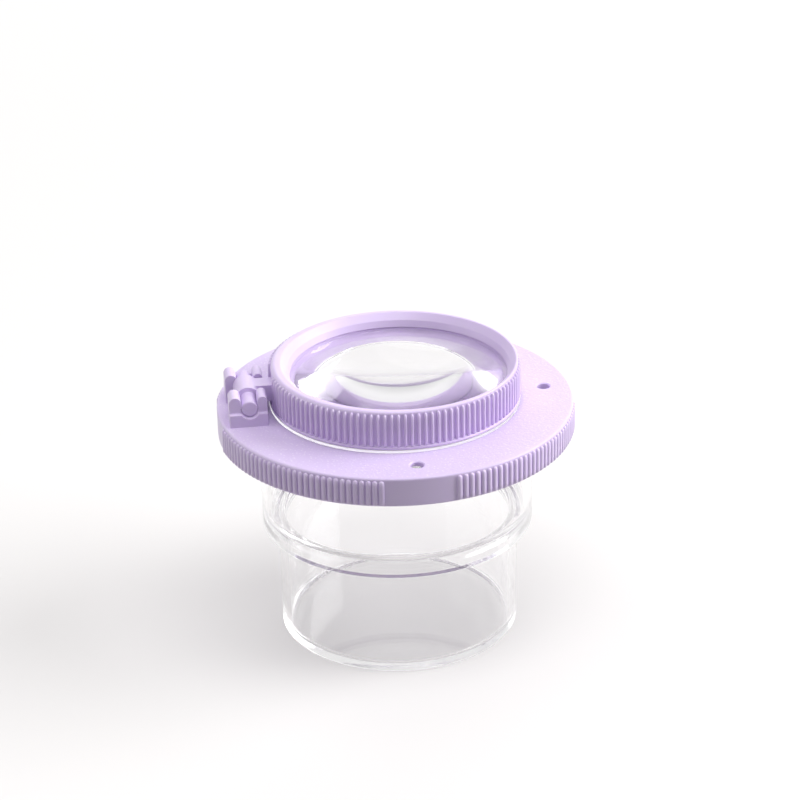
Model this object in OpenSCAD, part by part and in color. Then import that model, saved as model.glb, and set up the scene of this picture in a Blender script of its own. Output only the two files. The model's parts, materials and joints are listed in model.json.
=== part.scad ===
// Bug catcher jar: a clear stepped cup with a press-on ribbed lid.
// The lid carries one fixed lens and a ribbed ring with a second lens on a snap hinge.
// Origin: centre of the underside of the jar. +Z is up and the hinge stands on the -X side.
// Drawn closed: the lid sits on the flange of the jar and the ring lies on the lid.

/* [Jar] */
// Height of the whole jar
jar_h = 59.7; // [46:0.1:90]
// Height of the narrow lower part, up to the underside of the step
lower_h = 29.2; // [8:0.2:42]
// How far the wide upper part stands out beyond the lower part
step_w = 4.0; // [3.4:0.1:8]
// Thickness of the side walls
wall_t = 2.2; // [1.6:0.1:2.6]
// Thickness of the floor
floor_t = 1.6; // [1.2:0.1:3]
// How much narrower the lower part is at its base than at the step
draft_d = 0.6; // [0:0.1:1]
// Space between the lid's skirt and the rim of the flange
flange_inset = 3.65; // [2.4:0.05:5]
// How far the flange stands out from the upper wall
flange_w = 5.0; // [3.8:0.1:8]
// Thickness of the flange
flange_t = 1.9; // [1.4:0.1:2.6]
// Width of the lower rim outside the raised land that the lid sits on
land_inset = 2.8; // [1.8:0.1:3.6]
// How far the rim of the flange lies below the land
land_drop = 0.3; // [0.1:0.05:0.5]
// Height of the inner ledge above the underside of the step
ledge_h = 3.7; // [2.6:0.1:5]
// Height of the sloped band that joins the ledge to the upper wall
ledge_slope_h = 1.8; // [0.8:0.1:3]
// Depth of the sloped band, from the upper wall in to the ledge
ledge_slope_w = 2.0; // [1:0.1:2.6]
// Rounding of the outer bottom edge
base_round = 0.8; // [0.4:0.1:1.2]
// Rounding where the floor meets the wall
floor_round = 1.4; // [0.6:0.1:2.5]
// Rounding of the ledge's inner edge
ledge_round = 0.9; // [0.4:0.1:1.2]
// Rounding of the mouth and of the flange's edges
rim_round = 0.5; // [0.2:0.1:0.7]

/* [Lid] */
// Diameter of the lid over its ribs
lid_d = 90; // [76:0.5:120]
// Height of the lid from the lower edge of the skirt to the top face
lid_h = 7.4; // [6:0.1:10]
// Thickness of the top plate
plate_t = 2.0; // [1.6:0.1:2.6]
// Thickness of the skirt, without the ribs
skirt_t = 1.5; // [1.2:0.1:2]
// Rounding of the lid's top edge
lid_round = 0.6; // [0.3:0.1:1]
// How far the ribs of the skirt stand out
lid_rib_h = 0.45; // [0.2:0.05:0.6]
// Rib places around the skirt, of which the smooth patches take some
lid_ribs = 180; // [120:4:212]
// Rib places that each half of a smooth patch leaves empty
patch_ribs = 5; // [2:1:8]
// Clear height above the ribs
lid_rib_top_gap = 0.7; // [0.5:0.1:1.5]
// Clear height below the ribs
lid_rib_foot_gap = 0.3; // [0.2:0.1:2]
// Width of a skirt rib at its root
lid_rib_w = 1.25; // [0.8:0.05:1.3]
// Width of a skirt rib at its crest
lid_rib_crest_w = 0.7; // [0.3:0.05:0.75]
// Inside clearance between the locating ring and the flange, on the radius
guide_gap = 0.6; // [0.4:0.1:1]
// Thickness of the locating ring under the plate
guide_t = 1.2; // [0.8:0.1:1.6]
// Height of the locating ring
guide_h = 2.8; // [2.2:0.1:3.5]
// Gap between a grip pad and the flange, on the radius
pad_gap = 0.08; // [0.05:0.01:0.1]
// Width of a grip pad
pad_w = 10; // [6:0.5:14]
// Diameter of an air hole
air_hole_d = 3.3; // [2:0.1:3.6]
// How far outside the land the air holes lie
air_hole_out = 1.1; // [0.6:0.1:1.6]
// Width of the air channel that leads from a hole into the jar
air_channel_w = 2.4; // [1.5:0.1:3]
// Depth of the air channel
air_channel_t = 0.8; // [0.4:0.1:1.2]

/* [Hinge] */
// Distance from the edge of the lid in to the hinge axis
hinge_inset = 8; // [7:0.1:10]
// Height of the hinge axis above the top of the lid
hinge_h = 4.4; // [4.2:0.1:5]
// Diameter of the cross pin
pin_d = 4.0; // [3:0.1:4.2]
// Running clearance of the pin in its sockets, on the radius
pin_gap = 0.05; // [0.02:0.01:0.1]
// Length of the cross pin
pin_len = 19.2; // [17:0.1:20]
// Chamfer at the ends of the pin
pin_chamfer = 0.35; // [0.1:0.05:0.6]
// Diameter of the hub between the two sockets
hub_d = 6.4; // [5.4:0.1:6.6]
// Length of the hub
hub_len = 7.8; // [6:0.1:8.4]
// Side clearance between the hub and the sockets
hub_gap = 0.2; // [0.1:0.05:0.5]
// Outer end of each hinge foot, measured from the middle of the hinge
foot_end = 10.4; // [9.8:0.1:12]
// How far the ears stand back from the outer end of the foot
ear_set_back = 1.0; // [0.5:0.1:1.5]
// Height of the foot block above the lid
foot_h = 3.3; // [2.4:0.1:3.8]
// Thickness of the ears on the side of the lid's edge
outer_ear_t = 3.0; // [2:0.1:3.2]
// Thickness of the ears on the side of the ring
inner_ear_t = 2.4; // [1.8:0.1:2.6]
// Height of the ears' tops above the hinge axis
ear_h = 3.1; // [2.6:0.1:3.3]
// Mouth of a socket, a little narrower than the pin
mouth_w = 3.8; // [3.4:0.05:3.9]
// Extra radius of the notch at the outer end of a foot
notch_gap = 0.3; // [0.2:0.05:0.6]
// Width of the arm between hub and ring
arm_w = 4.8; // [4:0.1:6]
// Top of the arm above the hinge axis
arm_top = 2.7; // [2:0.1:3]
// Underside of the arm below the hinge axis
arm_low = 1.6; // [1:0.1:2.2]

/* [Magnifier ring] */
// Gap between the ears and the ring's ribs
ring_gap = 1.1; // [0.4:0.1:3]
// Top of the ring above the lid
ring_top_h = 10.8; // [10.6:0.1:12.4]
// Rounding of the ring's top outer edge
ring_round = 1.2; // [0.5:0.1:1.4]
// Rounding of the ring's lower outer edge
ring_foot_round = 0.3; // [0.1:0.1:0.5]
// How far the smooth foot band of the ring stands out
ring_foot_w = 0.5; // [0.2:0.05:0.5]
// Height of the foot band
ring_foot_h = 0.8; // [0.6:0.1:1.6]
// How far the ribs of the ring stand out
ring_rib_h = 0.65; // [0.55:0.05:0.7]
// Rib places around the ring
ring_ribs = 120; // [90:2:140]
// Rib places that the arm takes, on each side of its middle
arm_ribs = 2; // [2:1:3]
// Lower end of the ribs above the lid
ring_rib_z0 = 1.7; // [1.5:0.1:3]
// Upper end of the ribs above the lid
ring_rib_z1 = 9.7; // [8.6:0.1:10.2]
// Width of a ring rib at its root
ring_rib_w = 0.9; // [0.75:0.05:1.3]
// Width of a ring rib at its crest
ring_rib_crest_w = 0.5; // [0.3:0.05:0.7]
// How far the ring's opening is shifted away from the hinge
eye_shift = 1.05; // [0:0.05:1.2]
// How far the lip reaches over the edge of the lens
lip_w = 1.2; // [0.6:0.1:3]
// How far the opening widens from the lens to its upper edge
eye_flare = 0.7; // [0:0.1:1.2]
// Height of the opening's upper edge above the lid
eye_h = 8.9; // [8.2:0.1:9.4]
// Width of the sloped brim around the opening
brim_w = 1.6; // [0.6:0.1:1.7]
// Height of the lip's underside, which the lens is pushed against, above the lid
lip_h = 7.2; // [6.9:0.1:7.6]

/* [Lenses] */
// Mean width of the ring outside the hinged lens
lens_inset = 3.3; // [2.8:0.1:6]
// Clearance around the hinged lens, on the radius
lens_gap = 0.1; // [0.05:0.05:0.15]
// Thickness of the hinged lens at its edge
lens_edge_t = 1.9; // [1.4:0.1:2.4]
// Height of the snap bead that holds the hinged lens
bead_h = 0.4; // [0.3:0.1:0.6]
// How far the bead reaches under the lens
bead_w = 0.4; // [0.2:0.1:0.6]
// Play between the bead and the lens
bead_gap = 0.05; // [0.02:0.01:0.1]
// How much wider the lens pocket is at its open end than at the bead
lead_in = 1.4; // [0.6:0.1:1.6]
// Gap between the lip and the curved faces of the hinged lens
dome_gap = 0.4; // [0.2:0.1:2]
// Rise of the upper face of the hinged lens
lens_rise = 3.4; // [1:0.1:4]
// Drop of the lower face of the hinged lens
lens_drop = 3.4; // [1:0.1:3.8]
// How far the fixed lens's rim stands back under the ribs of the ring
rim_back = 0.1; // [0.05:0.05:0.6]
// How far the fixed lens's rim laps over the lid
rim_lap = 11.4; // [8:0.1:13]
// Thickness of the fixed lens's rim
fixed_rim_t = 0.8; // [0.7:0.1:1.1]
// Clearance around the fixed lens in the lid, on the radius
fixed_gap = 0.05; // [0.03:0.01:0.2]
// Width of the flat edge around the curved underside of the fixed lens
low_edge_w = 1.0; // [0.4:0.1:3]
// Drop of the curved underside of the fixed lens
fixed_drop = 2.2; // [1:0.1:3]

/* [Hidden] */
$fn = 160;
// One overrun serves every cut and every buried end
over = 0.4;
round_steps = 5;

lid_root_r = lid_d / 2 - lid_rib_h;
skirt_in_r = lid_root_r - skirt_t;
flange_r = skirt_in_r - flange_inset;
land_r = flange_r - land_inset;
upper_r = flange_r - flange_w;
base_r = upper_r - step_w;
lower_in_r = base_r - wall_t;
upper_in_r = upper_r - wall_t;
ledge_z = lower_h + ledge_h;
ledge_out_r = upper_in_r - ledge_slope_w;
draft = draft_d / 2;

seat_z = jar_h;
lid_z = seat_z + plate_t;
skirt_z = lid_z - lid_h;
guide_in_r = flange_r + guide_gap;
guide_out_r = guide_in_r + guide_t;
pad_in_r = flange_r + pad_gap;
air_hole_x = land_r + air_hole_out;

hinge_x = lid_d / 2 - hinge_inset;
hinge_z = lid_z + hinge_h;
socket_r = pin_d / 2 + pin_gap;
foot_start = hub_len / 2 + hub_gap;
foot_len = foot_end - foot_start;
ear_len = foot_len - ear_set_back;
ear_z = hinge_z + ear_h;
outer_x = hinge_x + pin_d / 2 + outer_ear_t;
inner_x = hinge_x - pin_d / 2 - inner_ear_t;

ring_z = lid_z + fixed_rim_t;
ring_top = lid_z + ring_top_h;
ring_r = inner_x - ring_gap;
ring_root_r = ring_r - ring_rib_h;
lip_z = lid_z + lip_h;
lens_r = ring_r - lens_inset;
lens_z = lip_z - lens_edge_t;
eye_low_r = lens_r - lip_w;
eye_r = eye_low_r + eye_flare;
brim_r = eye_r + brim_w;
dome_r = eye_low_r - dome_gap;
pocket_r = lens_r + lens_gap;
bead_r = lens_r - bead_w;
bead_top = lens_z - bead_gap;
lead_in_r = bead_r + lead_in / 2;
fixed_rim_r = ring_r - rim_back;
opening_r = fixed_rim_r - rim_lap;
fixed_body_r = opening_r - fixed_gap;
ring_foot_r = ring_root_r + ring_foot_w;
foot_top_z = ring_z + ring_foot_h;

// Points of a round stretch about (x, z), from angle a to angle b
function bend(x, z, r, a, b) =
    [for (i = [0 : round_steps]) let (t = a + (b - a) * i / round_steps) [x + r * cos(t), z + r * sin(t)]];

// Points of one rib, from root to root, standing on a circle of radius r
function rib(r, h, root_w, crest_w, turn) =
    let (root = asin(root_w / 2 / r), crest = asin(crest_w / 2 / r), inner = r - over, tip = r + h)
    [
        [inner * cos(turn - root), inner * sin(turn - root)],
        [tip * cos(turn - crest), tip * sin(turn - crest)],
        [tip * cos(turn + crest), tip * sin(turn + crest)],
        [inner * cos(turn + root), inner * sin(turn + root)],
    ];

// Thin band with ribs at the given angles, to be joined to the wall behind it
module ribbed_band(r, h, root_w, crest_w, turns, z0, z1) {
    translate([0, 0, z0])
        linear_extrude(z1 - z0)
            difference() {
                polygon([for (turn = turns) each rib(r, h, root_w, crest_w, turn)]);
                circle(r - 2 * over);
            }
}

// Spherical cap on a circle of radius r at height z, rising by h, or hanging where side is -1
module cap(r, z, h, side) {
    ball = (r * r + h * h) / (2 * h);
    rotate_extrude()
        intersection() {
            translate([0, z + side * (h - ball)])
                circle(ball, $fn = 8 * $fn);
            translate([0, z - (side > 0 ? over : h)])
                square([r, h + over]);
        }
}

// The clear cup, turned in one outline with its step, ledge and flange
module jar_body() {
    outline = concat(
        [[0, 0]],
        bend(base_r - base_round, base_round, base_round, -90, 0),
        [
            [base_r + draft, lower_h],
            [upper_r, lower_h],
            [upper_r, jar_h - flange_t],
        ],
        bend(flange_r - rim_round, jar_h - flange_t + rim_round, rim_round, -90, 0),
        bend(flange_r - rim_round, jar_h - land_drop - rim_round, rim_round, 0, 90),
        [
            [land_r + land_drop, jar_h - land_drop],
            [land_r, jar_h],
        ],
        bend(upper_in_r + rim_round, jar_h - rim_round, rim_round, 90, 180),
        [
            [upper_in_r, ledge_z + ledge_slope_h],
            [ledge_out_r, ledge_z],
        ],
        bend(lower_in_r + draft + ledge_round, ledge_z - ledge_round, ledge_round, 90, 180),
        bend(lower_in_r - floor_round, floor_t + floor_round, floor_round, 0, -90),
        [[0, floor_t]]
    );
    color("azure", 0.35)
        rotate_extrude()
            polygon(outline);
}

// Plate, skirt and locating ring of the lid, turned in one outline
module lid_shell() {
    rotate_extrude()
        polygon(concat(
            [
                [opening_r, seat_z],
                [opening_r, lid_z],
            ],
            bend(lid_root_r - lid_round, lid_z - lid_round, lid_round, 90, 0),
            bend(lid_root_r - rim_round, skirt_z + rim_round, rim_round, 0, -90),
            [
                [skirt_in_r, skirt_z],
                [skirt_in_r, seat_z],
                [guide_out_r, seat_z],
                [guide_out_r, seat_z - guide_h],
                [guide_in_r, seat_z - guide_h],
                [guide_in_r, seat_z],
            ]
        ));
}

// Ribs of the skirt, with a smooth patch facing each air hole and the hinge
module lid_rib_band() {
    quarter = lid_ribs / 4;
    turns = [
        for (side = [0 : 3])
            for (i = [patch_ribs + 1 : quarter - patch_ribs - 1])
                side * 90 + i * 360 / lid_ribs
    ];
    ribbed_band(
        lid_root_r, lid_rib_h, lid_rib_w, lid_rib_crest_w, turns,
        skirt_z + lid_rib_foot_gap, lid_z - lid_rib_top_gap
    );
}

// One grip pad on the locating ring, facing the flange at angle turn
module grip_pad(turn) {
    pad_t = guide_in_r + guide_t / 2 - pad_in_r;
    intersection() {
        rotate(turn)
            translate([pad_in_r - over, -pad_w / 2, seat_z - guide_h])
                cube([pad_t + over, pad_w, guide_h + over]);
        translate([0, 0, seat_z - guide_h])
            difference() {
                cylinder(h = guide_h + over, r = guide_out_r - over);
                translate([0, 0, -over])
                    cylinder(h = guide_h + 3 * over, r = pad_in_r);
            }
    }
}

// Air hole through the plate and the channel under it that leads into the jar
module air_way(turn) {
    channel_in_r = upper_in_r - wall_t;
    rotate(turn) {
        translate([air_hole_x, 0, seat_z - over])
            cylinder(h = plate_t + 2 * over, d = air_hole_d);
        translate([channel_in_r, -air_channel_w / 2, seat_z - over])
            cube([air_hole_x - channel_in_r, air_channel_w, air_channel_t + over]);
    }
}

// One ear of a hinge foot between x0 and x1, with a rounded top
module ear(x0, x1) {
    ear_r = (x1 - x0) / 2;
    translate([x0, 0, lid_z])
        cube([x1 - x0, ear_len, ear_z - ear_r - lid_z]);
    translate([(x0 + x1) / 2, 0, ear_z - ear_r])
        rotate([-90, 0, 0])
            cylinder(h = ear_len, r = ear_r);
}

// Hinge foot on one side of the hub: a block with two ears and an open snap socket
module hinge_foot(side) {
    mirror([0, side < 0 ? 1 : 0, 0])
        translate([0, foot_start, 0])
            difference() {
                union() {
                    translate([-outer_x, 0, lid_z - over])
                        cube([outer_x - inner_x, foot_len, foot_h + over]);
                    ear(-outer_x, -outer_x + outer_ear_t);
                    ear(-inner_x - inner_ear_t, -inner_x);
                }
                translate([-hinge_x, -over, hinge_z])
                    rotate([-90, 0, 0])
                        cylinder(h = foot_len + 2 * over, r = socket_r);
                translate([-hinge_x, ear_len, hinge_z])
                    rotate([-90, 0, 0])
                        cylinder(h = ear_set_back + over, r = socket_r + notch_gap);
                translate([-hinge_x - mouth_w / 2, -over, hinge_z])
                    cube([mouth_w, foot_len + 2 * over, ear_h + over]);
            }
}

// The ribbed lid with its hinge feet, air holes and grip pads
module lid() {
    color("thistle")
        difference() {
            union() {
                lid_shell();
                lid_rib_band();
                for (turn = [0 : 90 : 270])
                    grip_pad(turn);
                hinge_foot(-1);
                hinge_foot(1);
            }
            for (turn = [-90 : 90 : 90])
                air_way(turn);
        }
}

// The clear fixed lens: a wide flat rim on the lid and a curved body through its opening
module lid_lens() {
    color("azure", 0.35) {
        translate([0, 0, lid_z])
            cylinder(h = fixed_rim_t, r = fixed_rim_r);
        translate([0, 0, seat_z])
            cylinder(h = plate_t + fixed_rim_t / 2, r = fixed_body_r);
        cap(fixed_body_r - low_edge_w, seat_z, fixed_drop, -1);
    }
}

// Outside of the ring, turned as a solid puck
module ring_puck() {
    rotate_extrude()
        polygon(concat(
            [[0, ring_z]],
            bend(ring_foot_r - ring_foot_round, ring_z + ring_foot_round, ring_foot_round, -90, 0),
            [
                [ring_foot_r, foot_top_z],
                [ring_root_r, foot_top_z],
            ],
            bend(ring_root_r - ring_round, ring_top - ring_round, ring_round, 0, 90),
            [[0, ring_top]]
        ));
}

// Ribs of the ring, left out where the arm joins
module ring_rib_band() {
    turns = [for (i = [arm_ribs + 1 : ring_ribs - arm_ribs - 1]) 180 + i * 360 / ring_ribs];
    ribbed_band(
        ring_root_r, ring_rib_h, ring_rib_w, ring_rib_crest_w, turns,
        lid_z + ring_rib_z0, lid_z + ring_rib_z1
    );
}

// Space inside the ring: lead-in, bead, lens pocket, lip and sloped brim
module ring_cavity() {
    brim_run = ring_top - lid_z - eye_h;
    translate([eye_shift, 0, 0])
        rotate_extrude()
            polygon([
                [0, ring_z - over],
                [lead_in_r, ring_z - over],
                [bead_r, bead_top - bead_h],
                [bead_r, bead_top],
                [pocket_r, bead_top],
                [pocket_r, lip_z],
                [eye_low_r, lip_z],
                [eye_r, lid_z + eye_h],
                [brim_r, ring_top],
                [brim_r + over * brim_w / brim_run, ring_top + over],
                [0, ring_top + over],
            ]);
}

// Arm, hub and cross pin of the ring, in one with it
module hinge_arm() {
    arm_end = ring_root_r - wall_t / 2;
    translate([-hinge_x, -arm_w / 2, hinge_z - arm_low])
        cube([hinge_x - arm_end, arm_w, arm_low + arm_top]);
    translate([-hinge_x, hub_len / 2, hinge_z])
        rotate([90, 0, 0])
            cylinder(h = hub_len, d = hub_d);
    translate([-hinge_x, 0, hinge_z])
        rotate([90, 0, 0])
            rotate_extrude()
                polygon([
                    [0, -pin_len / 2],
                    [pin_d / 2 - pin_chamfer, -pin_len / 2],
                    [pin_d / 2, -pin_len / 2 + pin_chamfer],
                    [pin_d / 2, pin_len / 2 - pin_chamfer],
                    [pin_d / 2 - pin_chamfer, pin_len / 2],
                    [0, pin_len / 2],
                ]);
}

// The ribbed ring with its arm and cross pin
module magnifier_frame() {
    color("thistle") {
        difference() {
            union() {
                ring_puck();
                ring_rib_band();
            }
            ring_cavity();
        }
        hinge_arm();
    }
}

// The clear lens of the ring: a flat edge and two curved faces
module magnifier_lens() {
    color("azure", 0.35)
        translate([eye_shift, 0, 0]) {
            translate([0, 0, lens_z])
                cylinder(h = lens_edge_t, r = lens_r);
            cap(dome_r, lip_z, lens_rise, 1);
            cap(dome_r, lens_z, lens_drop, -1);
        }
}

jar_body();
lid();
lid_lens();
magnifier_frame();
magnifier_lens();
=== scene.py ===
# Bug catcher jar: a clear stepped cup, a ribbed lavender lid with a fixed lens,
# and a ribbed ring with a second lens on a snap hinge.
import json
from math import asin, cos, degrees, pi, radians, sin, sqrt, tan

import bmesh
import bpy
from mathutils import Matrix, Vector


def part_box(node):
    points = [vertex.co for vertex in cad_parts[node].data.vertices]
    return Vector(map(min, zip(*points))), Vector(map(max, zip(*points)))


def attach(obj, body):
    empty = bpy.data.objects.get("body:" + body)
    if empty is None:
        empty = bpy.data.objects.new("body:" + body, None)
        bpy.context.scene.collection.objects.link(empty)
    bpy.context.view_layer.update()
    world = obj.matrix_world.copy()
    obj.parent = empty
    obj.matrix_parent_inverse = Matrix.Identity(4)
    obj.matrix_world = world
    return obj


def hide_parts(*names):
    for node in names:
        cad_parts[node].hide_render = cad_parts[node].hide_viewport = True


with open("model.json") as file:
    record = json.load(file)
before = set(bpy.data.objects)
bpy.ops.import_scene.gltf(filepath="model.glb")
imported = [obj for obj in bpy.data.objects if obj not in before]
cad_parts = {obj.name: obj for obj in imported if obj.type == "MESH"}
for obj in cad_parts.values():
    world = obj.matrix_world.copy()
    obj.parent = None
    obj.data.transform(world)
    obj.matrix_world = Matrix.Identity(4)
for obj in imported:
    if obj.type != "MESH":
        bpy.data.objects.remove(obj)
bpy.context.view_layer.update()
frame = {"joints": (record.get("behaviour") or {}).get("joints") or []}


# The cup
# One clear moulding of hard styrene: a narrow lower part, a step, a wider upper
# part and a flange at the mouth. It is moulded in one shot and polished, so it
# shows itself by its edges, with faint flow marks and a few hairlines from use.
mm = 0.001
scene = bpy.context.scene
turned_sides = 288
on_axis = 1e-9

cup_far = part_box("jar_body")[1]
jar_h = cup_far.z
flange_r = cup_far.x
flange_z = jar_h - 1.9 * mm
land_r = 36.6 * mm
land_drop = 0.3 * mm
base_r = 30.4 * mm
base_edge_w = 1.6 * mm
base_edge_rise = 0.2 * mm
upper_r = 34.4 * mm
step_z = 29.2 * mm
ledge_z = 32.9 * mm
ledge_w = 2.0 * mm
ledge_rise = 1.8 * mm
floor_t = 1.6 * mm
wall_t = 2.2 * mm
draft = 0.3 * mm
lower_in_r = base_r - wall_t
upper_in_r = upper_r - wall_t


def rounded(corners, closed=False, steps=6):
    """Outline through corners (radius, height, rounding).

    A point beside each curve holds the flat, so that the shading stays even."""
    run_share, hold_share = 0.46, 0.03
    hold = 0.15 * mm
    points = []
    for i, (x, z, rounding) in enumerate(corners):
        here = Vector((x, z))
        if rounding == 0 or (not closed and i in (0, len(corners) - 1)):
            points.append((x, z))
            continue
        back = Vector(corners[i - 1][:2]) - here
        ahead = Vector(corners[(i + 1) % len(corners)][:2]) - here
        lengths = back.length, ahead.length
        holds = [min(hold, hold_share * length) for length in lengths]
        back.normalize()
        ahead.normalize()
        half = back.angle(ahead) / 2
        run = min(rounding / tan(half), run_share * min(lengths))
        centre = here + (back + ahead).normalized() * (run / cos(half))
        arm = here + back * run - centre
        way = -1 if back.x * ahead.y - back.y * ahead.x > 0 else 1
        points.append(here + back * (run + holds[0]))
        for k in range(steps + 1):
            turn = way * (pi - 2 * half) * k / steps
            points.append(centre + Matrix.Rotation(turn, 2) @ arm)
        points.append(here + ahead * (run + holds[1]))
    return [(point[0], point[1]) for point in points]


def add_object(name, data):
    """Object of a mesh, a lamp or the camera, linked to the scene."""
    made = bpy.data.objects.new(name, data)
    scene.collection.objects.link(made)
    return made


def add_mesh(name, mesh, materials, sharp=50):
    """Object of a finished bmesh, smooth but for edges sharper than the angle."""
    data = bpy.data.meshes.new(name)
    mesh.to_mesh(data)
    mesh.free()
    for polygon in data.polygons:
        polygon.use_smooth = True
    data.set_sharp_from_angle(angle=radians(sharp))
    for material in materials:
        data.materials.append(material)
    return add_object(name, data)


def turned(outline, sides=turned_sides):
    """Closed bmesh turned about the upright axis.

    The outline is a list of (radius, height), or a function that gives it for an angle."""
    mesh = bmesh.new()
    turns = [2 * pi * s / sides for s in range(sides)]
    outlines = [outline(turn) if callable(outline) else outline for turn in turns]
    rows = []
    for j, (r, z) in enumerate(outlines[0]):
        if r < on_axis:
            rows.append([mesh.verts.new((0, 0, z))] * sides)
            continue
        row = []
        for turn, points in zip(turns, outlines):
            r, z = points[j]
            row.append(mesh.verts.new((r * cos(turn), r * sin(turn), z)))
        rows.append(row)
    ends_on_axis = outlines[0][0][0] < on_axis
    for a, b in zip(rows, rows[1:] + ([] if ends_on_axis else rows[:1])):
        for s in range(sides):
            t = (s + 1) % sides
            corners = dict.fromkeys((a[s], a[t], b[t], b[s]))
            if len(corners) > 2:
                mesh.faces.new(corners)
    bmesh.ops.recalc_face_normals(mesh, faces=mesh.faces)
    return mesh


def node(tree, kind, inputs=None, **settings):
    """One node, with its settings and with inputs that are values or other nodes' sockets."""
    made = tree.nodes.new(kind)
    for name, value in settings.items():
        setattr(made, name, value)
    for key, value in (inputs or {}).items():
        if isinstance(value, bpy.types.NodeSocket):
            tree.links.new(value, made.inputs[key])
        else:
            made.inputs[key].default_value = value
    return made


def maths(tree, operation, *values):
    """Result of one Math node."""
    return node(tree, "ShaderNodeMath", dict(enumerate(values)), operation=operation).outputs[0]


def remapped(tree, value, low, high, new_low=0.0, new_high=1.0):
    """A value brought from one range to another, and kept inside it."""
    return node(tree, "ShaderNodeMapRange",
                {"Value": value, "From Min": low, "From Max": high,
                 "To Min": new_low, "To Max": new_high}).outputs[0]


def bumped(tree, height, depth, strength, under=None, sunk=False):
    """Normal of a surface that rises, or sinks, where the height map is bright."""
    inputs = {"Strength": strength, "Distance": depth, "Height": height}
    if under is not None:
        inputs["Normal"] = under
    return node(tree, "ShaderNodeBump", inputs, invert=sunk).outputs[0]


def new_group(name, kind, inputs, outputs):
    """Empty node group with named sockets, given as (name, type, default)."""
    tree = bpy.data.node_groups.new(name, kind)
    for label, socket_type, value in inputs:
        socket = tree.interface.new_socket(label, in_out="INPUT", socket_type=socket_type)
        if value is not None:
            socket.default_value = value
    for label, socket_type in outputs:
        tree.interface.new_socket(label, in_out="OUTPUT", socket_type=socket_type)
    given, put = tree.nodes.new("NodeGroupInput"), tree.nodes.new("NodeGroupOutput")
    return tree, given.outputs, put.inputs


def use_group(tree, group, **values):
    """Outputs of a group placed in a tree, with its inputs set by name."""
    made = tree.nodes.new("ShaderNodeGroup")
    made.node_tree = group
    for key, value in values.items():
        made.inputs[key].default_value = value
    return made.outputs


def blank_material(name):
    """A new material and its empty node tree."""
    material = bpy.data.materials.new(name)
    material.use_nodes = True
    material.node_tree.nodes.clear()
    return material, material.node_tree


# Hairline scratches: thin lines of a stretched noise, kept to a few patches
hairlines, given, put = new_group(
    "hairlines", "ShaderNodeTree",
    [("Scale", "NodeSocketFloat", 120.0), ("Amount", "NodeSocketFloat", 0.5),
     ("Turn", "NodeSocketFloat", 0.6)],
    [("Mask", "NodeSocketFloat")])
place = node(hairlines, "ShaderNodeTexCoord").outputs["Object"]
slanted = node(hairlines, "ShaderNodeVectorRotate",
               {"Vector": place, "Angle": given["Turn"]}, rotation_type="Z_AXIS").outputs[0]
stretched = node(hairlines, "ShaderNodeVectorMath",
                 {0: slanted, 1: (1.0, 9.0, 2.5)}, operation="MULTIPLY").outputs[0]
strands = node(hairlines, "ShaderNodeTexNoise",
               {"Vector": stretched, "Scale": given["Scale"], "Detail": 3.0}).outputs["Fac"]
from_middle = maths(hairlines, "ABSOLUTE", maths(hairlines, "SUBTRACT", strands, 0.5))
line = remapped(hairlines, from_middle, 0.0, 0.012, 1.0, 0.0)
clouds = node(hairlines, "ShaderNodeTexNoise",
              {"Vector": place, "Scale": 70.0, "Detail": 2.0}).outputs["Fac"]
patches = remapped(hairlines, clouds, 0.52, 0.66)
mask = maths(hairlines, "MULTIPLY", maths(hairlines, "MULTIPLY", line, patches), given["Amount"])
hairlines.links.new(mask, put["Mask"])

# Flow marks: the slow waves that a moulding keeps from the way the plastic ran
flow_marks, given, put = new_group(
    "flow_marks", "ShaderNodeTree",
    [("Scale", "NodeSocketFloat", 45.0), ("Stretch", "NodeSocketFloat", 0.35)],
    [("Height", "NodeSocketFloat"), ("Tone", "NodeSocketFloat")])
place = node(flow_marks, "ShaderNodeTexCoord").outputs["Object"]
stretch = node(flow_marks, "ShaderNodeCombineXYZ", {0: 1.0, 1: 1.0, 2: given["Stretch"]}).outputs[0]
stretched = node(flow_marks, "ShaderNodeVectorMath",
                 {0: place, 1: stretch}, operation="MULTIPLY").outputs[0]
waves = node(flow_marks, "ShaderNodeTexNoise",
             {"Vector": stretched, "Scale": given["Scale"], "Detail": 2.0, "Distortion": 0.6})
broad = node(flow_marks, "ShaderNodeTexNoise", {"Vector": place, "Scale": 22.0, "Detail": 3.0})
flow_marks.links.new(waves.outputs["Fac"], put["Height"])
flow_marks.links.new(broad.outputs["Fac"], put["Tone"])

wave_depth = 0.1 * mm
scratch_depth = 0.02 * mm
depth_tint = (0.55, 0.52, 0.53, 1)
depth_density = 1.5


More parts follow.
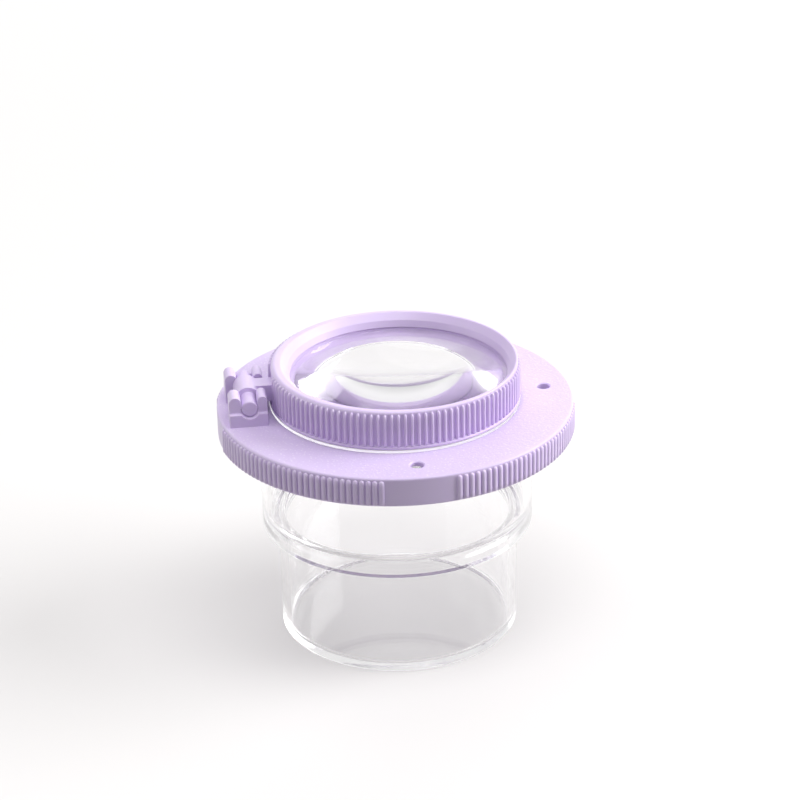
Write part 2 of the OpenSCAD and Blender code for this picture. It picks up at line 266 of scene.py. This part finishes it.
def clear_plastic(name, colour, ior, rough, wear, wave, shade, painted_glow=0.0):
    """Clear polished plastic. Shadows and soft light pass it, dimmed to the shade. A painted glow
    above 0 makes it give out white light of its own, though it is no lamp.
    """
    material, tree = blank_material(name)
    lines = use_group(tree, hairlines, Scale=110.0, Amount=wear, Turn=0.6)
    flow = use_group(tree, flow_marks, Scale=60.0, Stretch=0.4)
    roughness = maths(tree, "MULTIPLY_ADD", lines["Mask"], 0.3, rough)
    waves = bumped(tree, flow["Height"], wave_depth, wave)
    scored = bumped(tree, lines["Mask"], scratch_depth, 0.25, waves, sunk=True)
    plastic = node(tree, "ShaderNodeBsdfPrincipled",
                   {"Base Color": (*colour, 1), "Roughness": roughness, "IOR": ior,
                    "Transmission Weight": 1.0, "Normal": scored,
                    "Emission Color": (1, 1, 1, 1), "Emission Strength": painted_glow})
    through = node(tree, "ShaderNodeBsdfTransparent",
                   {"Color": (shade, shade * 0.995, shade, 1)})
    light = node(tree, "ShaderNodeLightPath").outputs
    passing = maths(tree, "MAXIMUM", light["Is Shadow Ray"], light["Is Diffuse Ray"])
    surface = node(tree, "ShaderNodeMixShader",
                   {0: passing, 1: plastic.outputs[0], 2: through.outputs[0]})
    depth = node(tree, "ShaderNodeVolumeAbsorption",
                 {"Color": depth_tint, "Density": depth_density})
    node(tree, "ShaderNodeOutputMaterial",
         {"Surface": surface.outputs[0], "Volume": depth.outputs[0]})
    return material


clear_styrene = clear_plastic("clear_styrene", (0.998, 0.998, 1.0), ior=1.58, rough=0.012,
                              wear=0.6, wave=0.12, shade=0.85)

cup_outline = rounded([
    (0, 0, 0),
    (base_r - base_edge_w, 0, 0.4 * mm),
    (base_r, base_edge_rise, 0.7 * mm),
    (base_r + draft, step_z, 0.25 * mm),
    (upper_r, step_z, 0.3 * mm),
    (upper_r, flange_z, 0.3 * mm),
    (flange_r, flange_z, 0.5 * mm),
    (flange_r, jar_h - land_drop, 0.5 * mm),
    (land_r + land_drop, jar_h - land_drop, 0.1 * mm),
    (land_r, jar_h, 0.15 * mm),
    (upper_in_r, jar_h, 0.5 * mm),
    (upper_in_r, ledge_z + ledge_rise, 0.4 * mm),
    (upper_in_r - ledge_w, ledge_z, 0.4 * mm),
    (lower_in_r + draft, ledge_z, 0.9 * mm),
    (lower_in_r, floor_t, 1.4 * mm),
    (0, floor_t, 0),
])
cup = add_mesh("cup", turned(cup_outline), [clear_styrene])
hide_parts("jar_body")
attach(cup, "jar")


# The lid
# One lavender moulding: a plate with a deep skirt, a locating ring with four
# grip pads under it, three air holes and the two feet of the snap hinge. The
# plate's top face has a fine matt grain with painted sparkle in paler specks, and the rest is
# satin.
lid_low, lid_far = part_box("lid")
lid_root_r = lid_far.x
skirt_z = lid_low.z
plate_t = 2.0 * mm
skirt_t = 1.5 * mm
seat_z = jar_h
seat_gap = 0.03 * mm
under_z = seat_z + seat_gap
lid_z = seat_z + plate_t
skirt_in_r = lid_root_r - skirt_t
opening_r = 20.0 * mm
guide_in_r = 40.0 * mm
guide_out_r = 41.2 * mm
guide_z = 56.9 * mm

# Moulded grain: a close, soft pitting, and paler specks that are painted sparkle, glints painted
# into the colour
moulded_grain, given, put = new_group(
    "moulded_grain", "ShaderNodeTree",
    [("Scale", "NodeSocketFloat", 1800.0)],
    [("Height", "NodeSocketFloat"), ("Painted sparkle", "NodeSocketFloat")])
place = node(moulded_grain, "ShaderNodeTexCoord").outputs["Object"]
pitting = node(moulded_grain, "ShaderNodeTexNoise",
               {"Vector": place, "Scale": given["Scale"], "Detail": 3.0, "Roughness": 0.6})
cell_scale = maths(moulded_grain, "MULTIPLY", given["Scale"], 0.9)
cells = node(moulded_grain, "ShaderNodeTexVoronoi", {"Vector": place, "Scale": cell_scale})
moulded_grain.links.new(pitting.outputs["Fac"], put["Height"])
moulded_grain.links.new(
    remapped(moulded_grain, cells.outputs["Distance"], 0.3, 0.12), put["Painted sparkle"])

cool_lavender = (0.705, 0.585, 0.855, 1)
warm_lavender = (0.735, 0.615, 0.880, 1)
sparkle_lavender = (0.86, 0.78, 0.95, 1)
pit_depth = 0.14 * mm


def blended(tree, share, low, high):
    """A colour between two others, by a share from 0 to 1."""
    return node(tree, "ShaderNodeMix", {0: share, 6: low, 7: high}, data_type="RGBA").outputs[2]


def lavender(name, rough, grain_depth, grain_scale, painted_sparkle):
    """Solid coloured plastic with flow marks, grain and light wear; its sparkle share paints paler
    specks of painted sparkle on the grain.
    """
    material, tree = blank_material(name)
    flow = use_group(tree, flow_marks, Scale=90.0, Stretch=0.5)
    grain = use_group(tree, moulded_grain, Scale=grain_scale)
    lines = use_group(tree, hairlines, Scale=90.0, Amount=0.5, Turn=0.9)
    tone = remapped(tree, flow["Tone"], 0.3, 0.7)
    colour = blended(tree, tone, cool_lavender, warm_lavender)
    # Painted sparkle: paler specks laid into the colour where glints off the grain would be
    colour = blended(tree, maths(tree, "MULTIPLY", grain["Painted sparkle"], painted_sparkle), colour, sparkle_lavender)
    roughness = maths(tree, "MULTIPLY_ADD", flow["Height"], 0.08, rough - 0.04)
    roughness = maths(tree, "MULTIPLY_ADD", lines["Mask"], 0.2, roughness)
    waves = bumped(tree, flow["Height"], wave_depth, 0.06)
    pits = bumped(tree, grain["Height"], pit_depth, grain_depth, waves)
    scored = bumped(tree, lines["Mask"], scratch_depth, 0.3, pits, sunk=True)
    plastic = node(tree, "ShaderNodeBsdfPrincipled",
                   {"Base Color": colour, "Roughness": roughness, "IOR": 1.49,
                    "Subsurface Weight": 0.15, "Subsurface Radius": (1.0, 0.7, 1.2),
                    "Subsurface Scale": 0.8 * mm, "Normal": scored})
    node(tree, "ShaderNodeOutputMaterial", {"Surface": plastic.outputs[0]})
    return material


satin_lavender = lavender(
    "satin_lavender", rough=0.33, grain_depth=0.025, grain_scale=2200.0, painted_sparkle=0.0)
# The grained top face gets painted sparkle; the satin parts get none.
grained_lavender = lavender(
    "grained_lavender", rough=0.45, grain_depth=1.0, grain_scale=1300.0, painted_sparkle=0.75)

lid_outline = rounded([
    (opening_r, under_z, 0.15 * mm),
    (opening_r, lid_z, 0.15 * mm),
    (lid_root_r, lid_z, 0.6 * mm),
    (lid_root_r, skirt_z, 0.5 * mm),
    (skirt_in_r, skirt_z, 0.2 * mm),
    (skirt_in_r, under_z, 0.4 * mm),
    (guide_out_r, under_z, 0.2 * mm),
    (guide_out_r, guide_z, 0.2 * mm),
    (guide_in_r, guide_z, 0.3 * mm),
    (guide_in_r, under_z, 0.2 * mm),
], closed=True)


def finish_mesh(piece):
    """Makes what a piece's modifiers give its plain mesh, and removes them."""
    bpy.context.view_layer.update()
    graph = bpy.context.evaluated_depsgraph_get()
    piece.data = bpy.data.meshes.new_from_object(piece.evaluated_get(graph), depsgraph=graph)
    piece.modifiers.clear()


def cut(piece, cutters):
    """Takes the cutters' shapes out of a piece and deletes them."""
    for cutter in cutters:
        tool = piece.modifiers.new("cut", "BOOLEAN")
        tool.object = cutter
        tool.solver = "EXACT"
    finish_mesh(piece)
    for cutter in cutters:
        bpy.data.objects.remove(cutter)


def moved(mesh, matrix):
    """The same bmesh after a move or turn."""
    bmesh.ops.transform(mesh, matrix=matrix, verts=mesh.verts)
    return mesh


def block(low, high):
    """bmesh of a block between two corners."""
    mesh = bmesh.new()
    bmesh.ops.create_cube(mesh, size=1)
    size = Vector(high) - Vector(low)
    middle = (Vector(high) + Vector(low)) / 2
    return moved(mesh, Matrix.Translation(middle) @ Matrix.Diagonal((*size, 1)))


def joined(base, other):
    """The base bmesh with the other one added to it."""
    held = bpy.data.meshes.new("held")
    other.to_mesh(held)
    other.free()
    base.from_mesh(held)
    bpy.data.meshes.remove(held)
    return base


lid_shell = add_mesh("lid_shell", turned(lid_outline), [satin_lavender, grained_lavender])

# Each air hole opens into a short channel in the plate's underside
air_hole_r = 1.65 * mm
air_hole_x = 37.7 * mm
flare_r = air_hole_r + 0.3 * mm
flare_z = lid_z - 0.25 * mm
hole_overrun = 0.5 * mm
mouth_overrun = 0.02 * mm
channel_start = 30.0 * mm
channel_half_w = 1.2 * mm
channel_top = seat_z + 0.8 * mm
channel_overrun = 0.4 * mm
hole_outline = rounded([
    (0, seat_z - hole_overrun, 0),
    (air_hole_r, seat_z - hole_overrun, 0),
    (air_hole_r, flare_z, 0.2 * mm),
    (flare_r, lid_z + mouth_overrun, 0),
    (flare_r, lid_z + hole_overrun, 0),
    (0, lid_z + hole_overrun, 0),
], steps=4)
air_ways = []
for turn in (-pi / 2, 0, pi / 2):
    face = Matrix.Rotation(turn, 4, "Z")
    hole = moved(turned(hole_outline, sides=48), face @ Matrix.Translation((air_hole_x, 0, 0)))
    air_ways.append(add_mesh("air_hole", hole, []))
    channel = block((channel_start, -channel_half_w, seat_z - channel_overrun),
                    (air_hole_x, channel_half_w, channel_top))
    air_ways.append(add_mesh("air_channel", moved(channel, face), []))
cut(lid_shell, air_ways)
for polygon in lid_shell.data.polygons:
    on_top = polygon.normal.z > 0.99 and polygon.center.z > lid_z - 0.01 * mm
    polygon.material_index = 1 if on_top else 0
    polygon.use_smooth = True
lid_shell.data.set_sharp_from_angle(angle=radians(35))
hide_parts("lid")
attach(lid_shell, "lid")

# The grip pads stand on the inside of the locating ring, bent along with it
pad_in_r = flange_r + 0.1 * mm
pad_out_r = guide_in_r + 0.5 * mm
pad_half_w = 5 * mm
pad_low = guide_z + 0.1 * mm
pad_high = seat_z + 0.2 * mm
pads = bmesh.new()
for k in range(4):
    pad = block((pad_in_r, -pad_half_w, pad_low), (pad_out_r, pad_half_w, pad_high))
    long_edges = [edge for edge in pad.edges
                  if abs(edge.verts[0].co.y - edge.verts[1].co.y) > pad_half_w]
    bmesh.ops.subdivide_edges(pad, edges=long_edges, cuts=12)
    for vertex in pad.verts:
        vertex.co.x *= cos(asin(vertex.co.y / vertex.co.x))
    pads = joined(pads, moved(pad, Matrix.Rotation(k * pi / 2, 4, "Z")))
grip_pads = add_mesh("grip_pads", pads, [satin_lavender])
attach(grip_pads, "lid")


# The skirt's ribs
# Fine upright ridges moulded on the skirt for grip, with rounded ends. They leave
# four smooth patches, which face the hinge and the three air holes.
ribbing, given, put = new_group(
    "ribbing", "GeometryNodeTree",
    [("Geometry", "NodeSocketGeometry", None), ("Ribs", "NodeSocketInt", 180),
     ("Patches", "NodeSocketInt", 4), ("Left out", "NodeSocketInt", 5),
     ("Start angle", "NodeSocketFloat", 0.0), ("Radius", "NodeSocketFloat", 0.04),
     ("Height", "NodeSocketFloat", 0.0005), ("Width", "NodeSocketFloat", 0.001),
     ("Low end", "NodeSocketFloat", 0.0), ("High end", "NodeSocketFloat", 0.01),
     ("Material", "NodeSocketMaterial", None)],
    [("Geometry", "NodeSocketGeometry")])
tip_share = 0.0004


def rib_maths(operation, *values):
    """Result of one Math node among the ribs' nodes."""
    return maths(ribbing, operation, *values)


def squared_off(value):
    """Draws a round section out towards a square one."""
    root = rib_maths("SQRT", rib_maths("ABSOLUTE", value))
    return rib_maths("MULTIPLY", rib_maths("SIGN", value), root)


# One rib is a rod of radius 1 and length 2, which is given its place and section
rod = node(ribbing, "GeometryNodeMeshCylinder",
           {"Vertices": 8, "Side Segments": 8, "Radius": 1.0, "Depth": 2.0})
position = node(ribbing, "GeometryNodeInputPosition").outputs[0]
spot = node(ribbing, "ShaderNodeSeparateXYZ", {0: position}).outputs
ends = given["High end"], given["Low end"]
half_length = rib_maths("MULTIPLY", rib_maths("SUBTRACT", *ends), 0.5)
middle = rib_maths("MULTIPLY", rib_maths("ADD", *ends), 0.5)
half_width = rib_maths("MULTIPLY", given["Width"], 0.5)
from_end = rib_maths("SUBTRACT", 1.0, rib_maths("ABSOLUTE", spot["Z"]))
along = rib_maths("SUBTRACT", 1.0, rib_maths("POWER", from_end, 3.0))

# Its ends are rounded over half its width
cap_share = rib_maths("DIVIDE", half_width, half_length)
past_cap_start = rib_maths("SUBTRACT", along, rib_maths("SUBTRACT", 1.0, cap_share))
in_cap = rib_maths("MAXIMUM", 0.0, rib_maths("DIVIDE", past_cap_start, cap_share))
under_root = rib_maths("SUBTRACT", 1.0, rib_maths("MULTIPLY", in_cap, in_cap))
narrow = rib_maths("SQRT", rib_maths("MAXIMUM", tip_share, under_root))
rise = rib_maths("MULTIPLY", squared_off(spot["X"]), narrow)
sideways = rib_maths("MULTIPLY", squared_off(spot["Y"]), narrow)
upwards = rib_maths("MULTIPLY", along, rib_maths("SIGN", spot["Z"]))
rib_place = node(ribbing, "ShaderNodeCombineXYZ",
                 {0: rib_maths("MULTIPLY_ADD", rise, given["Height"], given["Radius"]),
                  1: rib_maths("MULTIPLY", sideways, half_width),
                  2: rib_maths("MULTIPLY_ADD", upwards, half_length, middle)})
shaped = node(ribbing, "GeometryNodeSetPosition",
              {"Geometry": rod.outputs["Mesh"], "Position": rib_place.outputs[0]})

# The ribs stand at even turns about the axis, but for those that a patch leaves out
spots = node(ribbing, "GeometryNodePoints", {"Count": given["Ribs"]})
number = node(ribbing, "GeometryNodeInputIndex").outputs[0]
period = rib_maths("DIVIDE", given["Ribs"], given["Patches"])
in_period = rib_maths("MODULO", number, period)
half_patch = rib_maths("ADD", given["Left out"], 0.5)
near_start = rib_maths("LESS_THAN", in_period, half_patch)
near_end = rib_maths("GREATER_THAN", in_period, rib_maths("SUBTRACT", period, half_patch))
kept = rib_maths("LESS_THAN", rib_maths("ADD", near_start, near_end), 0.5)
step = rib_maths("DIVIDE", 2 * pi, given["Ribs"])
swing = rib_maths("MULTIPLY_ADD", number, step, given["Start angle"])
rotation = node(ribbing, "ShaderNodeCombineXYZ", {2: swing}).outputs[0]
ribs_placed = node(ribbing, "GeometryNodeInstanceOnPoints",
                   {"Points": spots.outputs[0], "Selection": kept,
                    "Instance": shaped.outputs[0], "Rotation": rotation})
real = node(ribbing, "GeometryNodeRealizeInstances", {0: ribs_placed.outputs[0]})
smooth = node(ribbing, "GeometryNodeSetShadeSmooth",
              {"Geometry": real.outputs[0], "Shade Smooth": True})
finished = node(ribbing, "GeometryNodeSetMaterial",
                {"Geometry": smooth.outputs[0], "Material": given["Material"]})
ribbing.links.new(finished.outputs[0], put["Geometry"])


def add_ribs(name, body, **values):
    """A band of ribs as one plain mesh that rides on a body; values are the group's inputs."""
    piece = add_object(name, bpy.data.meshes.new(name))
    maker = piece.modifiers.new("ribbing", "NODES")
    maker.node_group = ribbing
    sockets = {s.name: s.identifier for s in ribbing.interface.items_tree if s.in_out == "INPUT"}
    for key, value in values.items():
        maker[sockets[key.replace("_", " ")]] = value
    finish_mesh(piece)
    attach(piece, body)


rib_sink = 0.02 * mm
add_ribs("skirt_ribs", "lid", Ribs=180, Patches=4, Left_out=5, Start_angle=0.0,
         Radius=lid_root_r - rib_sink, Height=0.5 * mm, Width=1.3 * mm,
         Low_end=skirt_z + 0.25 * mm, High_end=lid_z - 0.6 * mm, Material=satin_lavender)


# The hinge feet
# Two blocks moulded on the lid, each with an outer and an inner ear and an open
# socket between them, into which the pin of the ring is snapped from above.
hinge = next(joint for joint in frame["joints"] if joint["name"] == "magnifier_flip")
hinge_x, hinge_z = hinge["pos_m"][::2]
pin_r = 2.0 * mm
socket_r = pin_r + 0.05 * mm
mouth_half_w = 1.9 * mm
notch_r = 2.35 * mm
foot_top = lid_z + 3.3 * mm
foot_bottom = lid_z - 0.5 * mm
ear_top = hinge_z + 3.1 * mm
outer_ear_r = 1.5 * mm
inner_ear_r = 1.2 * mm
outer_x = hinge_x - pin_r - 3.0 * mm
inner_x = hinge_x + pin_r + 2.4 * mm
ear_start = 4.1 * mm
ear_end = 9.4 * mm
lip_start = ear_start + 3 * mm
lip_end = 10.4 * mm


def slab(outline, y0, y1):
    """bmesh of an outline of (x, z) points drawn out along the hinge axis."""
    mesh = bmesh.new()
    near = [mesh.verts.new((x, y0, z)) for x, z in outline]
    far = [mesh.verts.new((x, y1, z)) for x, z in outline]
    mesh.faces.new(near)
    mesh.faces.new(reversed(far))
    for i in range(len(outline)):
        j = (i + 1) % len(outline)
        mesh.faces.new((near[j], near[i], far[i], far[j]))
    bmesh.ops.recalc_face_normals(mesh, faces=mesh.faces)
    return mesh


def arc(x, z, r, start, end, steps):
    """Points about (x, z) from one angle to another, in degrees."""
    turns = [radians(start + (end - start) * k / steps) for k in range(steps + 1)]
    return [(x + r * cos(t), z + r * sin(t)) for t in turns]


def soften(piece, cell, rounds):
    """Joins overlapping shapes into one skin with softly moulded edges and corners."""
    skin = piece.modifiers.new("skin", "REMESH")
    skin.mode = "VOXEL"
    skin.voxel_size = cell
    ease = piece.modifiers.new("ease", "SMOOTH")
    ease.factor = 0.5
    ease.iterations = rounds
    thin = piece.modifiers.new("thin", "DECIMATE")
    thin.ratio = 0.5
    finish_mesh(piece)
    for polygon in piece.data.polygons:
        polygon.use_smooth = True


mouth_turn = degrees(asin(mouth_half_w / socket_r))
ears_outline = (
    [(outer_x, foot_bottom)]
    + arc(outer_x + outer_ear_r, ear_top - outer_ear_r, outer_ear_r, 180, 0, 12)
    + arc(hinge_x, hinge_z, socket_r, 90 + mouth_turn, 450 - mouth_turn, 24)
    + arc(inner_x - inner_ear_r, ear_top - inner_ear_r, inner_ear_r, 180, 0, 12)
    + [(inner_x, foot_bottom)]
)
notch_turn = degrees(asin((hinge_z - foot_top) / notch_r))
lip_outline = (
    [(outer_x, foot_bottom), (outer_x, foot_top)]
    + arc(hinge_x, hinge_z, notch_r, 180 + notch_turn, 360 - notch_turn, 16)
    + [(inner_x, foot_top), (inner_x, foot_bottom)]
)
for side, word in ((-1, "front"), (1, "rear")):
    foot = joined(slab(ears_outline, side * ear_start, side * ear_end),
                  slab(lip_outline, side * lip_start, side * lip_end))
    hinge_foot = add_mesh(f"hinge_foot_{word}", foot, [satin_lavender])
    soften(hinge_foot, cell=0.09 * mm, rounds=5)
    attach(hinge_foot, "lid")


# The fixed lens
# A clear moulded lens that drops into the lid's opening from above. Its rim lies
# on the lid's top face; the outer band of the rim is frosted and has a painted white glow, which
# draws the bright line under the ring.
fixed_low, fixed_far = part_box("lid_lens")
fixed_rim_r = fixed_far.x
fixed_rim_top = fixed_far.z
fixed_body_r = opening_r - 0.05 * mm
low_dome_r = fixed_body_r - 1.0 * mm
painted_glow_edge_w = 0.35 * mm


def dome(r, z, rise, steps=20):
    """Points of a lens face from its edge at radius r, height z, to the axis."""
    ball = (r * r + rise * rise) / (2 * abs(rise))
    top = z + rise
    way = 1 if rise > 0 else -1
    reach = asin(min(1, r / ball))
    turns = [reach * (1 - k / steps) for k in range(steps + 1)]
    return [(ball * sin(t), top - way * ball * (1 - cos(t))) for t in turns]


clear_acrylic = clear_plastic("clear_acrylic", (0.998, 0.998, 1.0), ior=1.49, rough=0.006,
                              wear=0.2, wave=0.01, shade=0.97)
# The rim's frosted edge glows white though no lamp lights it so: painted light.
frosted_edge_painted_glow = clear_plastic("frosted_edge_painted_glow", (0.99, 0.99, 0.992), ior=1.49, rough=0.4,
                           wear=0.25, wave=0.03, shade=0.97, painted_glow=0.18)
fixed_outline = (
    dome(low_dome_r, seat_z, fixed_low.z - seat_z)[::-1]
    + rounded([
        (low_dome_r, seat_z, 0),
        (fixed_body_r, seat_z, 0.2 * mm),
        (fixed_body_r, lid_z + seat_gap, 0.05 * mm),
        (fixed_rim_r, lid_z + seat_gap, 0.15 * mm),
        (fixed_rim_r, fixed_rim_top, 0.08 * mm),
        (0, fixed_rim_top, 0),
    ])[1:]
)
fixed_lens = add_mesh("fixed_lens", turned(fixed_outline), [clear_acrylic, frosted_edge_painted_glow], sharp=60)
# The outer band of the rim gets the frosted edge with the painted glow.
for polygon in fixed_lens.data.polygons:
    if polygon.center.xy.length > fixed_rim_r - painted_glow_edge_w:
        polygon.material_index = 1
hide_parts("lid_lens")
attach(fixed_lens, "lid")


# The magnifier ring
# One lavender moulding with ribs around it and a rounded shoulder. Its opening
# lies a little off centre, and a lip and a snap bead hold the lens inside it.
lens_low, lens_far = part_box("magnifier_lens")
lens_r = (lens_far.x - lens_low.x) / 2
eye_shift = (lens_far.x + lens_low.x) / 2
ring_root_r = 30.75 * mm
ring_foot_r = 31.35 * mm
ring_z = fixed_rim_top
ring_top = lid_z + 10.6 * mm
foot_t = 0.7 * mm
foot_slope = 0.3 * mm
shoulder_r = 1.35 * mm
crest_least_w = 0.55 * mm
brim_r = 29.3 * mm
eye_r = 27.7 * mm
eye_low_r = 27.0 * mm
eye_z = lid_z + 8.9 * mm
lip_z = lid_z + 7.2 * mm
lens_z = lip_z - 1.9 * mm
pocket_r = lens_r + 0.1 * mm
bead_r = lens_r - 0.4 * mm
bead_top = lens_z - 0.05 * mm
bead_t = 0.4 * mm
bead_slope = 0.7 * mm


def ring_section(turn):
    """The ring's outline at an angle; its inside is a circle that lies off centre."""
    def inside(r):
        return eye_shift * cos(turn) + sqrt(r * r - (eye_shift * sin(turn)) ** 2)
    crest = min(inside(brim_r), ring_root_r - crest_least_w)
    shoulder = min(shoulder_r, 0.85 * (ring_root_r - crest))
    return rounded([
        (ring_foot_r, ring_z + seat_gap, 0.25 * mm),
        (ring_foot_r, ring_z + foot_t, 0.2 * mm),
        (ring_root_r, ring_z + foot_t + foot_slope, 0.2 * mm),
        (ring_root_r, ring_top, shoulder),
        (crest, ring_top, 0.5 * mm),
        (inside(eye_r), eye_z, 0.35 * mm),
        (inside(eye_low_r), lip_z, 0.1 * mm),
        (inside(pocket_r), lip_z, 0.1 * mm),
        (inside(pocket_r), bead_top, 0.1 * mm),
        (inside(bead_r), bead_top, 0.1 * mm),
        (inside(bead_r), bead_top - bead_t, 0.1 * mm),
        (inside(bead_r + bead_slope), ring_z + seat_gap, 0.2 * mm),
    ], closed=True)


ring = add_mesh("ring", turned(ring_section), [satin_lavender])
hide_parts("magnifier_frame")
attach(ring, "magnifier")

add_ribs("ring_ribs", "magnifier", Ribs=120, Patches=1, Left_out=2, Start_angle=pi,
         Radius=ring_root_r - rib_sink, Height=0.76 * mm, Width=0.75 * mm,
         Low_end=lid_z + 1.5 * mm, High_end=lid_z + 10.0 * mm, Material=satin_lavender)

# The ring's arm, hub and cross pin, in one with it
pin_reach = 9.6 * mm
pin_round = 0.35 * mm
hub_r = 3.2 * mm
hub_reach = 3.9 * mm
arm_reach = 2.4 * mm
arm_end_x = -30.0 * mm
arm_low = hinge_z - 1.6 * mm
arm_high = hinge_z + 2.7 * mm
pin_outline = rounded([
    (0, -pin_reach, 0),
    (pin_r, -pin_reach, pin_round),
    (pin_r, pin_reach, pin_round),
    (0, pin_reach, 0),
])
hub_outline = [(0, -hub_reach), (hub_r, -hub_reach), (hub_r, hub_reach), (0, hub_reach)]
arm = block((hinge_x, -arm_reach, arm_low), (arm_end_x, arm_reach, arm_high))
lay_down = Matrix.Translation((hinge_x, 0, hinge_z)) @ Matrix.Rotation(pi / 2, 4, "X")
for outline in (pin_outline, hub_outline):
    arm = joined(arm, moved(turned(outline, sides=64), lay_down))
ring_arm = add_mesh("ring_arm", arm, [satin_lavender])
soften(ring_arm, cell=0.1 * mm, rounds=4)
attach(ring_arm, "magnifier")


# The hinged lens
# The clear lens of the ring, with a flat edge and two curved faces. It is pushed
# up against the lip from below and snaps in over the bead.
dome_r = lens_r - 1.6 * mm
dome_rise = 3.4 * mm
lens_top = lip_z - seat_gap
hinged_outline = (
    dome(dome_r, lens_z, -dome_rise)[::-1]
    + rounded([
        (dome_r, lens_z, 0),
        (lens_r, lens_z, 0.2 * mm),
        (lens_r, lens_top, 0.2 * mm),
        (dome_r, lens_top, 0),
    ])[1:-1]
    + dome(dome_r, lens_top, dome_rise)
)
off_centre = Matrix.Translation((eye_shift, 0, 0))
hinged_lens = add_mesh(
    "hinged_lens", moved(turned(hinged_outline), off_centre), [clear_acrylic], sharp=60)
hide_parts("magnifier_lens")
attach(hinged_lens, "magnifier")


# The table and the light
# A pale table without an edge under soft studio light: a broad lamp and a panel
# on the right, a panel behind, a softbox above and weak fill from the left and
# from below. The camera stands as it did for the photograph.
scene.view_settings.view_transform = "Standard"
# Light turns many times inside clear plastic before it leaves
light_turns = 64
scene.cycles.max_bounces = light_turns
scene.cycles.glossy_bounces = light_turns
scene.cycles.transmission_bounces = light_turns
scene.cycles.transparent_max_bounces = light_turns

table_reach = 8
table_drop = 0.02 * mm


def seen_by_camera(tree, light):
    """1 for what the camera sees straight, in a gloss or through clear plastic, or else 0."""
    bent = maths(tree, "MAXIMUM", light["Is Glossy Ray"], light["Is Transmission Ray"])
    return maths(tree, "MAXIMUM", light["Is Camera Ray"], bent)


pale_table, tree = blank_material("pale_table")
seen = seen_by_camera(tree, node(tree, "ShaderNodeLightPath").outputs)
felt = node(tree, "ShaderNodeBsdfDiffuse", {"Color": (0.22, 0.215, 0.215, 1)})
shown = node(tree, "ShaderNodeBsdfDiffuse", {"Color": (0.6, 0.588, 0.584, 1)})
lift = node(tree, "ShaderNodeEmission", {"Color": (1.0, 0.985, 0.985, 1), "Strength": 0.27})
both = node(tree, "ShaderNodeAddShader", {0: shown.outputs[0], 1: lift.outputs[0]})
top = node(tree, "ShaderNodeMixShader", {0: seen, 1: felt.outputs[0], 2: both.outputs[0]})
node(tree, "ShaderNodeOutputMaterial", {"Surface": top.outputs[0]})
table_mesh = bmesh.new()
bmesh.ops.create_grid(table_mesh, x_segments=1, y_segments=1, size=table_reach)
table = add_mesh("table", moved(table_mesh, Matrix.Translation((0, 0, -table_drop))), [pale_table])
table.visible_shadow = False

# The white round the table is dimmer high up and far left, for the reflections
surround = bpy.data.worlds.new("surround")
scene.world = surround
surround.use_nodes = True
tree = surround.node_tree
tree.nodes.clear()
light = node(tree, "ShaderNodeLightPath").outputs
seen = seen_by_camera(tree, light)
soft = node(tree, "ShaderNodeBackground", {"Color": (1.0, 0.985, 0.98, 1), "Strength": 0.1})
direction = node(tree, "ShaderNodeTexCoord").outputs["Generated"]
parts = node(tree, "ShaderNodeSeparateXYZ", {0: direction}).outputs
high_up = remapped(tree, parts["Z"], 0.4, 0.8, 1.0, 0.5)
far_left = remapped(tree, parts["X"], -0.9, -0.4, 0.7, 1.0)
level = maths(tree, "MAXIMUM", maths(tree, "MULTIPLY", high_up, far_left), light["Is Camera Ray"])
white = node(tree, "ShaderNodeBackground", {"Color": (1, 1, 1, 1), "Strength": level})
all_round = node(tree, "ShaderNodeMixShader", {0: seen, 1: soft.outputs[0], 2: white.outputs[0]})
node(tree, "ShaderNodeOutputWorld", {"Surface": all_round.outputs[0]})

for name, energy, spread, way in (
        ("overhead_lamp", 0.7, 60, (-0.3, 0.1, 1.0)),
        ("side_lamp", 2.5, 45, (0.87, -0.07, 0.49)),
        ("left_lamp", 0.9, 60, (-1.0, 0.0, 0.25)),
        ("under_lamp", 1.0, 40, (0.0, 0.0, -1.0))):
    lamp = bpy.data.lights.new(name, "SUN")
    lamp.energy = energy
    lamp.angle = radians(spread)
    add_object(name, lamp).rotation_euler = Vector(way).to_track_quat("Z", "Y").to_euler()

# The panels shine on the middle of the jar, and only the softbox shows in gloss
panel_aim = Vector((0, 0, 60 * mm))
for name, power, size, place, in_gloss in (
        ("back_panel", 12.0, (1.7, 0.8), (0.2, 1.6, 0.72), False),
        ("right_panel", 1.0, (0.3, 0.3), (0.5, -0.03, 0.27), False),
        ("front_softbox", 5.0, (0.9, 0.5), (0.1, -0.35, 1.2), True)):
    panel_light = bpy.data.lights.new(name, "AREA")
    panel_light.shape = "RECTANGLE"
    panel_light.size, panel_light.size_y = size
    panel_light.energy = power
    panel = add_object(name, panel_light)
    panel.location = place
    panel.rotation_euler = (Vector(place) - panel_aim).to_track_quat("Z", "Y").to_euler()
    panel.visible_camera = False
    panel.visible_glossy = in_gloss
    panel.visible_transmission = in_gloss

camera_place = (-0.06923, -0.53541, 0.31785)
camera_way = Vector((0.11786, 0.89522, -0.42973)).normalized()
camera_roll = radians(-1.23)
view = bpy.data.cameras.new("camera")
view.sensor_width = 36
view.lens = 107.5
view.clip_start = 0.01
view.clip_end = 50
level_side = camera_way.cross(Vector((0, 0, 1))).normalized()
across = level_side * cos(camera_roll) + level_side.cross(camera_way) * sin(camera_roll)
upright = across.cross(camera_way)
facing = Matrix((across, upright, -camera_way)).transposed().to_4x4()
camera = add_object("camera", view)
camera.matrix_world = Matrix.Translation(camera_place) @ facing
scene.camera = camera
